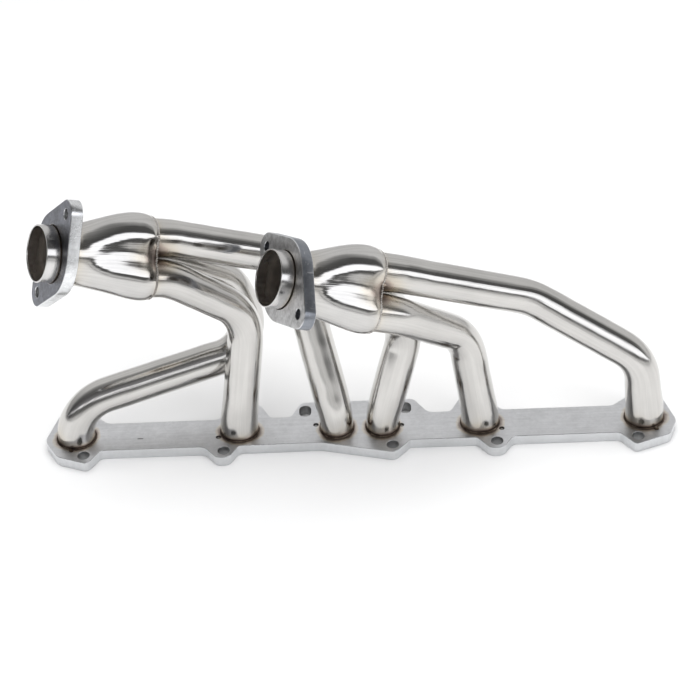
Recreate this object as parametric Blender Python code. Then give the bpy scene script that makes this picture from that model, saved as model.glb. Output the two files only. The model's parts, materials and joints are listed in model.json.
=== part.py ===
"""Tubular exhaust manifold for an inline six: one head flange, six primary tubes and two
three-into-one collectors, each with an outlet stub and a two-bolt outlet flange.

Frame: origin at the centre of the head flange's mating face, +X along the flange, +Z out of it.
Units are metres. Nothing moves: every piece is welded to its neighbours.
"""
import math

import bmesh
import bpy
from mathutils import Vector

# Driving dimensions
FLANGE_THICKNESS = 0.012
GAP = 0.0003
TUBE_RADIUS = 0.01905
TUBE_WALL = 0.0016
TUBE_SIDES = 16
TUBE_START_Z = 0.003
ARC_STEP = math.radians(20)
THIRD = math.radians(120)
ROUND_FROM = 0.050
SWAGE_RADIUS = 0.0196
SWAGE_LENGTH = 0.045
TUBE_INSERT = 0.008
LOBE_SPACING = 0.0233
COLLECTOR_SIDES = 36
COLLECTOR_WALL = 0.0015
NECK_RADIUS = 0.0289
BELLY_BOW = 0.0017
NECK_SHARE = 0.88
PLUG_REACH = 0.0075
PLUG_SINK = 0.0020
FILL_SINK = 0.0025
WELD_INSIDE = 0.0207
# Inside of the collector shell from inlet to neck: share of its length, the lobes' share of
# their spacing, their radius, and the blend that bridges the valleys between them.
SHELL = [
    (0.00, 1.00, 0.0209, 0.036), (0.15, 0.98, 0.0220, 0.032), (0.35, 0.88, 0.0224, 0.022),
    (0.60, 0.62, 0.0228, 0.010), (0.77, 0.30, 0.0254, 0.004), (NECK_SHARE, 0.00, NECK_RADIUS, 0.0004),
    (1.00, 0.00, NECK_RADIUS, 0.0004),
]
# Weld bead profiles. Port: distance out from the tube and height above the plate. Collector:
# distance in from the inlet plane and lobe radius. Outlet: distance behind the outlet flange
# and distance out from the neck.
PORT_BEAD = [(0.0006, 0.0), (0.0006, 0.0048), (0.0014, 0.0050), (0.0034, 0.0030), (0.0046, 0.0)]
COLLECTOR_BEAD = [
    (-0.0004, WELD_INSIDE), (-0.0004, 0.0227), (-0.0022, 0.0231), (-0.0038, 0.0220),
    (-0.0042, WELD_INSIDE),
]
OUTLET_BEAD = [(0.0, 0.0004), (0.0, 0.0040), (0.0028, 0.0028), (0.0042, 0.0004)]
STUB_RADIUS = 0.0286
STUB_WALL = 0.0016
STUB_LENGTH = 0.0150
STUB_INSERT = 0.008
OUTLET_THICKNESS = 0.0125
OUTLET_MIDDLE_RADIUS = 0.042
OUTLET_END_RADIUS = 0.0145
OUTLET_BOLT_OFFSET = 0.0522
OUTLET_BOLT_RADIUS = 0.0053
BOLT_RADIUS = 0.0064
SLOT_STRETCH = 0.0050
PORT_CLEARANCE = 0.0005
CUT_OVERSHOOT = 0.004

# Ports: centre x and y, and the half width and half depth of the oval tube end.
PORTS = {
    1: (-0.3035, 0.0000, 0.0205, 0.0192),
    2: (-0.1285, 0.0010, 0.0202, 0.0178),
    3: (-0.0245, 0.0015, 0.0176, 0.0186),
    4: (0.0245, 0.0015, 0.0176, 0.0186),
    5: (0.1285, 0.0010, 0.0202, 0.0178),
    6: (0.3035, 0.0000, 0.0205, 0.0192),
}
# Height of the first bend's corner above each port and its radius, then the free corners
# of the route with their bend radii, up to the collector's own straight entry.
ROUTES = {
    1: [(0.024, 0.040), (-0.2900, 0.0040, 0.0577, 0.044), (-0.1033, 0.0600, 0.0828, 0.040),
        (-0.1296, 0.0720, 0.1602, 0.042)],
    2: [(0.025, 0.060), (-0.1116, 0.0260, 0.1499, 0.052)],
    3: [(0.028, 0.050), (-0.0623, 0.0620, 0.1932, 0.060)],
    4: [(0.025, 0.050), (0.0527, 0.0240, 0.1218, 0.050)],
    5: [(0.024, 0.060), (0.1133, 0.0140, 0.1197, 0.050)],
    6: [(0.023, 0.060), (0.2971, 0.0080, 0.0862, 0.050), (0.1815, 0.0240, 0.1590, 0.075)],
}
# Radius of each tube's last bend, before its straight entry into the collector
ENTRY_RADIUS = {1: 0.090, 2: 0.090, 3: 0.090, 4: 0.040, 5: 0.090, 6: 0.090}

# Collectors: centre of the outlet mouth, centre of the inlet plane, the direction that the
# valley between the first two lobes faces, the outlet flange's turn, the straight length of the
# tubes outside the inlet, and the tubes by lobe angle.
COLLECTORS = {
    "left": {
        "mouth": (-0.3067, -0.0300, 0.2742), "inlet": (-0.2096, 0.0137, 0.2341),
        "valley": (0.516, -0.721, 0.462), "turn": 48, "entry": 0.024, "lobes": {60: 3, -60: 2, 180: 1},
    },
    "right": {
        "mouth": (-0.0811, -0.0600, 0.2560), "inlet": (0.0133, -0.0252, 0.2112),
        "valley": (0.489, -0.748, 0.449), "turn": -36, "entry": 0.0275, "lobes": {60: 6, -60: 5, 180: 4},
    },
}

# Head flange outline: corner x, corner y and corner radius, from the left end along the front.
OUTLINE = [
    (-0.3375, -0.0040, 0.016), (-0.3220, -0.0310, 0.016), (-0.2890, -0.0440, 0.006),
    (-0.2760, -0.0235, 0.008), (-0.1660, -0.0235, 0.012), (-0.1520, -0.0415, 0.0105),
    (-0.1390, -0.0415, 0.0100), (-0.1290, -0.0235, 0.009), (-0.0420, -0.0230, 0.030),
    (0.0370, -0.0430, 0.010), (0.0535, -0.0235, 0.006), (0.1240, -0.0240, 0.006),
    (0.1370, -0.0415, 0.0110), (0.1510, -0.0415, 0.0115), (0.1620, -0.0240, 0.010),
    (0.2750, -0.0240, 0.008), (0.2900, -0.0440, 0.006), (0.3280, -0.0290, 0.012),
    (0.3375, -0.0060, 0.014), (0.3250, 0.0400, 0.010), (0.2900, 0.0360, 0.012),
    (0.2720, 0.0215, 0.010), (0.1520, 0.0215, 0.008), (0.1420, 0.0440, 0.009),
    (0.1090, 0.0440, 0.008), (0.0980, 0.0215, 0.007), (0.0740, 0.0215, 0.012),
    (0.0590, 0.0450, 0.009), (-0.0640, 0.0450, 0.009), (-0.0740, 0.0215, 0.007),
    (-0.0960, 0.0215, 0.007), (-0.1080, 0.0440, 0.008), (-0.1420, 0.0440, 0.009),
    (-0.1520, 0.0215, 0.008), (-0.2720, 0.0215, 0.010), (-0.2900, 0.0380, 0.012),
    (-0.3250, 0.0420, 0.010),
]
ROUND_HOLES = [
    (-0.2937, -0.0300), (-0.1446, -0.0300), (0.0343, -0.0300), (0.1446, -0.0300), (0.2937, -0.0300),
    (-0.3085, 0.0310), (-0.1265, 0.0330), (0.1265, 0.0330), (0.3085, 0.0300),
]
SLOTTED_HOLES = [(-0.0588, 0.0300), (0.0494, 0.0300)]

POLISHED = ((0.62, 0.61, 0.59), 0.16)
BRUSHED = ((0.50, 0.50, 0.50), 0.42)
BEAD = ((0.36, 0.33, 0.30), 0.40)


def clear_scene():
    """Remove whatever the open scene holds."""
    for item in list(bpy.data.objects):
        bpy.data.objects.remove(item, do_unlink=True)


def metal(name, look):
    """A metallic Principled material."""
    colour, roughness = look
    material = bpy.data.materials.new(name)
    material.use_nodes = True
    shader = material.node_tree.nodes["Principled BSDF"]
    shader.inputs["Base Color"].default_value = (*colour, 1.0)
    shader.inputs["Roughness"].default_value = roughness
    shader.inputs["Metallic"].default_value = 1.0
    return material


def finish_object(name, bm, look):
    """Turn a bmesh into a named object whose faces point outwards."""
    bmesh.ops.recalc_face_normals(bm, faces=bm.faces)
    mesh = bpy.data.meshes.new(name)
    bm.to_mesh(mesh)
    bm.free()
    mesh.shade_smooth()
    mesh.set_sharp_from_angle(angle=math.radians(35))
    mesh.materials.append(metal(name + "_metal", look))
    item = bpy.data.objects.new(name, mesh)
    bpy.context.collection.objects.link(item)
    return item


def ring_body(name, loops, look):
    """A body with one hole through it: each loop joins the next, and the last joins the first."""
    bm = bmesh.new()
    rows = [[bm.verts.new(point) for point in loop] for loop in loops]
    sides = len(rows[0])
    for index, row in enumerate(rows):
        following = rows[(index + 1) % len(rows)]
        for side in range(sides):
            after = (side + 1) % sides
            bm.faces.new((row[side], row[after], following[after], following[side]))
    return finish_object(name, bm, look)


def prism(name, outline, origin, axes, thickness, look):
    """A plate: a flat outline drawn along two axes and extruded along the third."""
    across, up, normal = axes
    bm = bmesh.new()
    base = [bm.verts.new(origin + across * x + up * y) for x, y in outline]
    face = bm.faces.new(base)
    moved = bmesh.ops.extrude_face_region(bm, geom=[face])["geom"]
    top = [part for part in moved if isinstance(part, bmesh.types.BMVert)]
    bmesh.ops.translate(bm, vec=normal * thickness, verts=top)
    return finish_object(name, bm, look)


def cut(body, cutter):
    """Subtract a hidden cutter from a body and keep the result."""
    cutter.hide_render = True
    cutter.display_type = "WIRE"
    modifier = body.modifiers.new("cut_" + cutter.name, "BOOLEAN")
    modifier.operation = "DIFFERENCE"
    modifier.solver = "EXACT"
    modifier.object = cutter


def rounded_outline(corners, step):
    """A closed flat outline whose corners are arcs of their own radii."""
    points = []
    for index, (x, y, radius) in enumerate(corners):
        here = Vector((x, y))
        before = Vector(corners[index - 1][:2])
        after = Vector(corners[(index + 1) % len(corners)][:2])
        inward = (here - before).normalized()
        outward = (after - here).normalized()
        turn = inward.angle_signed(outward)
        setback = radius * math.tan(abs(turn) / 2)
        start = here - inward * setback
        side = Vector((inward.y, -inward.x)) * math.copysign(1, turn)
        centre = start + side * radius
        pieces = max(1, round(abs(turn) / step))
        for piece in range(pieces + 1):
            angle = -turn * piece / pieces
            spoke = start - centre
            points.append((
                centre.x + spoke.x * math.cos(angle) - spoke.y * math.sin(angle),
                centre.y + spoke.x * math.sin(angle) + spoke.y * math.cos(angle),
            ))
    return points


def oval_outline(x, y, half_width, half_depth, sides):
    """A closed ellipse, or a circle where both halves are equal."""
    angles = [2 * math.pi * side / sides for side in range(sides)]
    return [(x + half_width * math.cos(a), y + half_depth * math.sin(a)) for a in angles]


def slot_outline(x, y, radius, stretch, sides):
    """A closed slot along Y: two half circles, the given stretch apart."""
    points = []
    for px, py in oval_outline(0, 0, radius, radius, sides):
        points.append((x + px, y + py + math.copysign(stretch / 2, py)))
    return points


def waisted_outline(middle_radius, end_radius, offset, steps):
    """A two-bolt flange: a middle circle and two end circles joined by tangent lines."""
    lean = math.acos((middle_radius - end_radius) / offset)
    arcs = [
        (offset, end_radius, -lean, lean),
        (0.0, middle_radius, lean, math.pi - lean),
        (-offset, end_radius, math.pi - lean, math.pi + lean),
        (0.0, middle_radius, math.pi + lean, 2 * math.pi - lean),
    ]
    points = []
    for centre, radius, first, last in arcs:
        for step in range(steps + 1):
            angle = first + (last - first) * step / steps
            points.append((centre + radius * math.cos(angle), radius * math.sin(angle)))
    return points


def route_stations(corners):
    """Points and directions along straight runs joined by arcs; each corner is (point, radius)."""
    stations = []
    first = corners[0][0]
    stations.append((first, (corners[1][0] - first).normalized()))
    for index in range(1, len(corners) - 1):
        point, radius = corners[index]
        inward = (point - corners[index - 1][0]).normalized()
        outward = (corners[index + 1][0] - point).normalized()
        turn = inward.angle(outward)
        start = point - inward * radius * math.tan(turn / 2)
        side = (outward - inward * outward.dot(inward)).normalized()
        pieces = max(2, round(turn / ARC_STEP))
        for piece in range(pieces + 1):
            angle = turn * piece / pieces
            place = start + inward * radius * math.sin(angle) + side * radius * (1 - math.cos(angle))
            stations.append((place, inward * math.cos(angle) + side * math.sin(angle)))
    last = corners[-1][0]
    stations.append((last, (last - corners[-2][0]).normalized()))
    return stations


def with_breaks(stations, distances):
    """The same stations with more put in at these distances from the start, on straight runs."""
    result = [stations[0]]
    walked = 0.0
    for previous, current in zip(stations, stations[1:]):
        length = (current[0] - previous[0]).length
        for distance in sorted(distances):
            share = (distance - walked) / length
            if 0.15 < share < 0.85:
                result.append((previous[0].lerp(current[0], share), previous[1].lerp(current[1], share)))
        result.append(current)
        walked += length
    return result


def collector_frame(spec):
    """Inlet centre, axis towards the mouth, valley direction and the direction across it."""
    inlet = Vector(spec["inlet"])
    axis = (Vector(spec["mouth"]) - inlet).normalized()
    valley = Vector(spec["valley"])
    valley = (valley - axis * valley.dot(axis)).normalized()
    across = axis.cross(valley)
    if across.z < 0:
        across = -across
    return inlet, axis, valley, across


def lobe_centre(spec, angle):
    """Centre of one lobe on the inlet plane."""
    inlet, _, valley, across = collector_frame(spec)
    lean = math.radians(angle)
    return inlet + (valley * math.cos(lean) + across * math.sin(lean)) * LOBE_SPACING


def circle_reach(lean, spacing, radius, sign):
    """Distance from the axis to the near (-1) or far (1) side of one lobe's circle."""
    rest = radius * radius - (spacing * math.sin(lean)) ** 2
    return spacing * math.cos(lean) + sign * math.sqrt(max(rest, 0.0))


def lobe_lean(angle):
    """Angle from the nearest of three directions, the first of them at 0."""
    return (angle + THIRD / 2) % THIRD - THIRD / 2


def lobed_radius(angle, spacing, radius, bridge):
    """Distance from the axis to three overlapping circles, with their valleys bridged over."""
    lean = lobe_lean(angle - THIRD / 2)
    first = circle_reach(lean, spacing, radius, 1)
    second = circle_reach(THIRD - abs(lean), spacing, radius, 1)
    share = max(0.0, 1 - (first - second) / bridge)
    return first + share * share * bridge / 4


def lobed_loop(spec, along, spacing, radius, bridge, bow):
    """A three-lobed loop at a distance from the inlet plane towards the mouth."""
    inlet, axis, valley, across = collector_frame(spec)
    centre = inlet + axis * along + across * bow
    loop = []
    for side in range(COLLECTOR_SIDES):
        angle = 2 * math.pi * side / COLLECTOR_SIDES
        reach = lobed_radius(angle, spacing, radius, bridge)
        loop.append(centre + (valley * math.cos(angle) + across * math.sin(angle)) * reach)
    return loop


def make_tube(number, spec, angle):
    """One primary tube: oval at its port, round along its bends, swaged at the collector."""
    x, y, half_width, half_depth = PORTS[number]
    first_bend, *bends = ROUTES[number]
    _, axis, _, _ = collector_frame(spec)
    lobe = lobe_centre(spec, angle)
    corners = [(Vector((x, y, TUBE_START_Z)), 0.0), (Vector((x, y, first_bend[0])), first_bend[1])]
    corners += [(Vector(bend[:3]), bend[3]) for bend in bends]
    corners += [(lobe - axis * spec["entry"], ENTRY_RADIUS[number]), (lobe + axis * TUBE_INSERT, 0.0)]
    plain = route_stations(corners)
    total = sum((b[0] - a[0]).length for a, b in zip(plain, plain[1:]))
    stations = with_breaks(plain, [ROUND_FROM, total - TUBE_INSERT - SWAGE_LENGTH])
    side = Vector((1, 0, 0))
    walked = 0.0
    sections = []
    for index, (place, direction) in enumerate(stations):
        if index:
            walked += (place - stations[index - 1][0]).length
        side = (side - direction * side.dot(direction)).normalized()
        forward = direction.cross(side)
        oval = max(0.0, 1 - max(0.0, walked - FLANGE_THICKNESS) / ROUND_FROM)
        left = total - TUBE_INSERT - walked
        swage = min(1.0, max(0.0, 1 - left / SWAGE_LENGTH))
        body = TUBE_RADIUS + (SWAGE_RADIUS - TUBE_RADIUS) * swage
        width = body + (half_width - body) * oval
        depth = body + (half_depth - body) * oval
        sections.append((place, side, forward, width, depth))
    outside = [tube_section(*section, 0.0) for section in sections]
    inside = [tube_section(*section, -TUBE_WALL) for section in reversed(sections)]
    ring_body(f"primary_tube_{number}", outside + inside, POLISHED)


def tube_section(place, side, forward, width, depth, offset):
    """One loop round a tube, with the flats of its many sides on the true radius."""
    grow = 1 / math.cos(math.pi / TUBE_SIDES)
    loop = []
    for index in range(TUBE_SIDES):
        angle = 2 * math.pi * index / TUBE_SIDES
        reach_side = (width + offset) * grow * math.cos(angle)
        reach_forward = (depth + offset) * grow * math.sin(angle)
        loop.append(place + side * reach_side + forward * reach_forward)
    return loop


def make_port_weld(number):
    """The bead round a tube where it leaves the head flange."""
    x, y, half_width, half_depth = PORTS[number]
    loops = []
    for out, height in PORT_BEAD:
        centre = Vector((x, y, FLANGE_THICKNESS + GAP + height))
        loops.append(tube_section(centre, Vector((1, 0, 0)), Vector((0, 1, 0)), half_width, half_depth, out))
    ring_body(f"port_weld_{number}", loops, BEAD)


def make_head_flange():
    """The long plate with its six ports and its bolt holes."""
    up = Vector((0, 0, 1))
    axes = (Vector((1, 0, 0)), Vector((0, 1, 0)), up)
    plate = prism("head_flange", rounded_outline(OUTLINE, math.radians(22)), Vector(), axes,
                  FLANGE_THICKNESS, BRUSHED)
    grow = 1 / math.cos(math.pi / TUBE_SIDES)
    outlines = [
        oval_outline(x, y, width * grow + PORT_CLEARANCE, depth * grow + PORT_CLEARANCE, TUBE_SIDES)
        for x, y, width, depth in PORTS.values()
    ]
    outlines += [oval_outline(x, y, BOLT_RADIUS, BOLT_RADIUS, 16) for x, y in ROUND_HOLES]
    outlines += [slot_outline(x, y, BOLT_RADIUS, SLOT_STRETCH, 18) for x, y in SLOTTED_HOLES]
    below = Vector((0, 0, -CUT_OVERSHOOT))
    cut_depth = FLANGE_THICKNESS + 2 * CUT_OVERSHOOT
    for index, outline in enumerate(outlines):
        cutter = prism(f"hole_{index}", outline, below, axes, cut_depth, BRUSHED)
        cut(plate, cutter)


def make_collector(side, spec):
    """The three-lobed shell that narrows to a round neck."""
    length = (Vector(spec["mouth"]) - Vector(spec["inlet"])).length
    neck_end = length - STUB_LENGTH - OUTLET_THICKNESS - GAP
    outside = []
    inside = []
    for share, spacing, radius, bridge in SHELL:
        section = (spec, share * neck_end, spacing * LOBE_SPACING)
        bow = BELLY_BOW * math.sin(math.pi * min(share / NECK_SHARE, 1.0))
        outside.append(lobed_loop(*section, radius + COLLECTOR_WALL, bridge, bow))
        inside.append(lobed_loop(*section, radius, bridge, bow))
    inside.reverse()
    ring_body(f"collector_{side}", outside + inside, POLISHED)


def make_collector_weld(side, spec):
    """The bead round the three tubes, against the collector's lip."""
    bridge = SHELL[0][3]
    loops = [lobed_loop(spec, along, LOBE_SPACING, radius, bridge, 0.0) for along, radius in COLLECTOR_BEAD]
    ring_body(f"collector_weld_{side}", loops, BEAD)


def make_merge_plug(side, spec):
    """The small three-cornered plug that closes the space between the tube ends."""
    inlet, axis, valley, across = collector_frame(spec)
    clear = SWAGE_RADIUS / math.cos(math.pi / TUBE_SIDES) + GAP
    outline = []
    for step in range(18):
        angle = 2 * math.pi * step / 18
        lean = lobe_lean(angle - THIRD / 2)
        reach = min(circle_reach(lean, LOBE_SPACING, clear, -1), PLUG_REACH)
        outline.append((reach * math.cos(angle), reach * math.sin(angle)))
    origin = inlet - axis * PLUG_SINK
    prism(f"merge_plug_{side}", outline, origin, (valley, across, axis), TUBE_INSERT, BEAD)


def make_valley_fills(side, spec):
    """Weld metal in the three hollows between neighbouring tubes, under the bridged lip."""
    inlet, axis, valley, across = collector_frame(spec)
    clear = SWAGE_RADIUS / math.cos(math.pi / TUBE_SIDES) + GAP
    leans = [math.radians(degrees) for degrees in (-15, -10, -5, 0, 5, 10, 15)]
    for number, middle in enumerate((0.0, THIRD, -THIRD), 1):
        polar = []
        for lean in leans:
            reach = lobed_radius(middle + lean, LOBE_SPACING, WELD_INSIDE, SHELL[0][3]) - 2 * GAP
            polar.append((middle + lean, reach))
        for lean in reversed(leans):
            reach = circle_reach(THIRD / 2 - abs(lean), LOBE_SPACING, clear, 1)
            polar.append((middle + lean, reach + GAP))
        outline = [(reach * math.cos(angle), reach * math.sin(angle)) for angle, reach in polar]
        origin = inlet - axis * FILL_SINK
        prism(f"valley_fill_{side}_{number}", outline, origin, (valley, across, axis), TUBE_INSERT, BEAD)


def make_round(name, spec, profile, look, sides):
    """A turned ring on the collector's axis; the profile is (distance from the mouth, radius)."""
    _, axis, valley, across = collector_frame(spec)
    mouth = Vector(spec["mouth"])
    loops = []
    for back, radius in profile:
        centre = mouth - axis * back
        angles = [2 * math.pi * index / sides for index in range(sides)]
        loops.append([centre + (valley * math.cos(a) + across * math.sin(a)) * radius for a in angles])
    ring_body(name, loops, look)


def make_outlet(side, spec):
    """The outlet stub, its two-bolt flange and the bead behind the flange."""
    back_face = STUB_LENGTH + OUTLET_THICKNESS
    stub_end = back_face + STUB_INSERT
    inner = STUB_RADIUS - STUB_WALL
    stub = [(0.0, STUB_RADIUS), (stub_end, STUB_RADIUS), (stub_end, inner), (0.0, inner)]
    make_round(f"outlet_stub_{side}", spec, stub, POLISHED, 32)
    neck = NECK_RADIUS + COLLECTOR_WALL
    start = back_face + GAP
    bead = [(start + back, neck + out) for back, out in OUTLET_BEAD]
    make_round(f"outlet_weld_{side}", spec, bead, BEAD, 32)
    _, axis, valley, across = collector_frame(spec)
    turn = math.radians(spec["turn"])
    major = valley * math.cos(turn) + across * math.sin(turn)
    minor = axis.cross(major)
    mouth = Vector(spec["mouth"])
    origin = mouth - axis * back_face
    outline = waisted_outline(OUTLET_MIDDLE_RADIUS, OUTLET_END_RADIUS, OUTLET_BOLT_OFFSET, 7)
    axes = (major, minor, axis)
    plate = prism(f"outlet_flange_{side}", outline, origin, axes, OUTLET_THICKNESS, BRUSHED)
    below = origin - axis * CUT_OVERSHOOT
    depth = OUTLET_THICKNESS + 2 * CUT_OVERSHOOT
    bore = STUB_RADIUS + GAP
    holes = [oval_outline(0, 0, bore, bore, 32)]
    holes += [oval_outline(sign * OUTLET_BOLT_OFFSET, 0, OUTLET_BOLT_RADIUS, OUTLET_BOLT_RADIUS, 16)
              for sign in (-1, 1)]
    for index, hole in enumerate(holes):
        cut(plate, prism(f"outlet_hole_{side}_{index}", hole, below, axes, depth, BRUSHED))


clear_scene()
make_head_flange()
for port in PORTS:
    make_port_weld(port)
for collector_side, collector in COLLECTORS.items():
    make_collector(collector_side, collector)
    make_collector_weld(collector_side, collector)
    make_merge_plug(collector_side, collector)
    make_valley_fills(collector_side, collector)
    make_outlet(collector_side, collector)
    for lobe_angle, tube_number in collector["lobes"].items():
        make_tube(tube_number, collector, lobe_angle)
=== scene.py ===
"""Looks of the tubular exhaust manifold: polished bent tubes, lobed collectors, satin flanges
and rippled weld beads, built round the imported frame. Units are metres."""
import json
import math
import random
from functools import reduce

import bpy
import numpy as np
from mathutils import Matrix, Vector
from mathutils.geometry import tessellate_polygon


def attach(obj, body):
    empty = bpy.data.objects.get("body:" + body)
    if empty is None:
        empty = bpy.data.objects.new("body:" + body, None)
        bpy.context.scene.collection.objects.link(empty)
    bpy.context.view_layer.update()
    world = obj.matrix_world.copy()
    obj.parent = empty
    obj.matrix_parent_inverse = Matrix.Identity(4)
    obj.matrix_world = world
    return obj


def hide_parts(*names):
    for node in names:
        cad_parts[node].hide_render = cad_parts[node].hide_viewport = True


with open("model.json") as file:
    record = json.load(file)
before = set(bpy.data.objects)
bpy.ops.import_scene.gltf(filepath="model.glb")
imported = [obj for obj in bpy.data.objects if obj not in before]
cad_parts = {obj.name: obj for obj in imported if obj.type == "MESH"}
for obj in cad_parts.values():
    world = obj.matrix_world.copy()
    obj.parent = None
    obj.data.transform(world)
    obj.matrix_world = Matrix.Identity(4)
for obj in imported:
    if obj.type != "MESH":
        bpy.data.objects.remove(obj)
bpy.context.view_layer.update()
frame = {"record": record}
RECORD = frame["record"]
OPENINGS = {entry["name"]: entry["box_m"] for entry in RECORD["physics"]["openings"]}

# Driving dimensions. Three of them are not the CAD part's: its tubes are 0.1 mm larger in radius,
# and they widen to 19.6 mm over the last 45 mm instead of to SWAGE_RADIUS over SWAGE_LENGTH.
FLANGE_THICKNESS = 0.012
TUBE_RADIUS = 0.01895
TUBE_WALL = 0.0016
TUBE_START_Z = 0.003
ROUND_FROM = 0.050
SWAGE_RADIUS = 0.0198
SWAGE_LENGTH = 0.070
TUBE_INSERT = 0.008
LOBE_SPACING = 0.0233
COLLECTOR_WALL = 0.0015
STUB_RADIUS = 0.0286
STUB_WALL = 0.0016
STUB_LENGTH = 0.0150
STUB_INSERT = 0.008
OUTLET_THICKNESS = 0.0125
OUTLET_MIDDLE_RADIUS = 0.042
OUTLET_END_RADIUS = 0.0145
OUTLET_BOLT_OFFSET = 0.0522
OUTLET_BOLT_RADIUS = 0.0053
NECK_OUTSIDE = 0.0304
LIP_RADIUS = 0.0221
BOLT_RADIUS = 0.0064
SLOT_STRETCH = 0.0050

# Fineness of the visible meshes, and the small unevenness of the bent tubes
STATION_STEP = 0.0025
TUBE_SIDES = 72
THIRD = 2 * math.pi / 3
PLUG_REACH = 0.0075
BEAD_ROWS = 13
VISUAL_INSET = 0.0002
BEND_BLEND = 0.008
BEND_FLATTEN = 0.028
FLATTEN_RADIUS = 0.050
TUBE_WOBBLE = 0.00005
BELLY_BOW = 0.0017
NECK_SHARE = 0.88
VALLEY_BRIDGE = 0.036
BASE_TINT = 0.0046
ENTRY_TINT = 0.0045
COLLECTOR_GRAIN_RADIUS = 0.035
# Where the valleys' heat is centred, and how far it reaches along the collector and round it
HEAT_OFFSET, HEAT_BEHIND = 0.028, 0.001
HEAT_LENGTHWISE, HEAT_SIDEWAYS = 0.0185, 0.0135

# Half width and half depth of each oval tube end; its centre comes from the record.
PORT_OVALS = {
    1: (0.0205, 0.0192), 2: (0.0202, 0.0178), 3: (0.0176, 0.0186),
    4: (0.0176, 0.0186), 5: (0.0202, 0.0178), 6: (0.0205, 0.0192),
}
# Height and radius of the first bend, then the free corners of each route with bend radii.
ROUTES = {
    1: [(0.024, 0.040), (-0.2900, 0.0040, 0.0577, 0.044), (-0.1033, 0.0600, 0.0828, 0.040),
        (-0.1296, 0.0720, 0.1602, 0.042)],
    2: [(0.025, 0.060), (-0.1116, 0.0260, 0.1499, 0.052)],
    3: [(0.028, 0.050), (-0.0623, 0.0620, 0.1932, 0.060)],
    4: [(0.025, 0.050), (0.0527, 0.0240, 0.1218, 0.050)],
    5: [(0.024, 0.060), (0.1133, 0.0140, 0.1197, 0.050)],
    6: [(0.023, 0.060), (0.2971, 0.0080, 0.0862, 0.050), (0.1815, 0.0240, 0.1590, 0.075)],
}
ENTRY_RADIUS = {1: 0.090, 2: 0.090, 3: 0.090, 4: 0.040, 5: 0.090, 6: 0.090}
# Collectors: centre of the outlet mouth, centre of the inlet plane, the direction that the
# valley between the first two lobes faces, the outlet flange's turn, the straight length of the
# tubes outside the inlet, and the tubes by lobe angle.
COLLECTORS = {
    "left": {
        "mouth": (-0.3067, -0.0300, 0.2742), "inlet": (-0.2096, 0.0137, 0.2341),
        "valley": (0.516, -0.721, 0.462), "turn": 48, "entry": 0.024, "lobes": {60: 3, -60: 2, 180: 1},
    },
    "right": {
        "mouth": (-0.0811, -0.0600, 0.2560), "inlet": (0.0133, -0.0252, 0.2112),
        "valley": (0.489, -0.748, 0.449), "turn": -36, "entry": 0.0275, "lobes": {60: 6, -60: 5, 180: 4},
    },
}
# Head flange outline: corner x, corner y and corner radius.
OUTLINE = [
    (-0.3375, -0.0040, 0.016), (-0.3220, -0.0310, 0.016), (-0.2890, -0.0440, 0.006),
    (-0.2760, -0.0235, 0.008), (-0.1660, -0.0235, 0.012), (-0.1520, -0.0415, 0.0105),
    (-0.1390, -0.0415, 0.0100), (-0.1290, -0.0235, 0.009), (-0.0420, -0.0230, 0.030),
    (0.0370, -0.0430, 0.010), (0.0535, -0.0235, 0.006), (0.1240, -0.0240, 0.006),
    (0.1370, -0.0415, 0.0110), (0.1510, -0.0415, 0.0115), (0.1620, -0.0240, 0.010),
    (0.2750, -0.0240, 0.008), (0.2900, -0.0440, 0.006), (0.3280, -0.0290, 0.012),
    (0.3375, -0.0060, 0.014), (0.3250, 0.0400, 0.010), (0.2900, 0.0360, 0.012),
    (0.2720, 0.0215, 0.010), (0.1520, 0.0215, 0.008), (0.1420, 0.0440, 0.009),
    (0.1090, 0.0440, 0.008), (0.0980, 0.0215, 0.007), (0.0740, 0.0215, 0.012),
    (0.0590, 0.0450, 0.009), (-0.0640, 0.0450, 0.009), (-0.0740, 0.0215, 0.007),
    (-0.0960, 0.0215, 0.007), (-0.1080, 0.0440, 0.008), (-0.1420, 0.0440, 0.009),
    (-0.1520, 0.0215, 0.008), (-0.2720, 0.0215, 0.010), (-0.2900, 0.0380, 0.012),
    (-0.3250, 0.0420, 0.010),
]
ROUND_HOLES = [
    (-0.2937, -0.0300), (-0.1446, -0.0300), (0.0343, -0.0300), (0.1446, -0.0300), (0.2937, -0.0300),
    (-0.3085, 0.0310), (-0.1265, 0.0330), (0.1265, 0.0330), (0.3085, 0.0300),
]
SLOTTED_HOLES = [(-0.0588, 0.0300), (0.0494, 0.0300)]
# Small plugged holes beside the ports, on the head flange's top face
PLUGGED_HOLES = [(-0.1510, -0.0080), (-0.0470, 0.0065), (0.0445, 0.0015), (0.1510, -0.0100)]
DENT = (-0.2350, -0.0060)
TACKS = {1: (-0.3075, -0.0215), 6: (0.3140, -0.0200)}


def opening_centre(name):
    """Centre of one of the record's opening boxes."""
    low, high = OPENINGS[name]
    return (Vector(low) + Vector(high)) / 2


PORTS = {number: opening_centre(f"port_{number}") for number in PORT_OVALS}


# ---- mesh helpers

def build_object(name, points, faces, material, attributes=None, sharp=40):
    """A named, smooth-shaded object; attributes are one number or vector for each point."""
    points = np.asarray(points, float)
    mesh = bpy.data.meshes.new(name)
    mesh.from_pydata(points.tolist(), [], faces)
    for key, values in (attributes or {}).items():
        values = np.asarray(values, np.float32)
        kind, part = ("FLOAT", "value") if values.ndim == 1 else ("FLOAT_VECTOR", "vector")
        mesh.attributes.new(key, kind, "POINT").data.foreach_set(part, values.ravel())
    if signed_volume(mesh) < 0:
        mesh.flip_normals()
    mesh.shade_smooth()
    mesh.set_sharp_from_angle(angle=math.radians(sharp))
    mesh.materials.append(material)
    item = bpy.data.objects.new(name, mesh)
    bpy.context.collection.objects.link(item)
    return item


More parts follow.
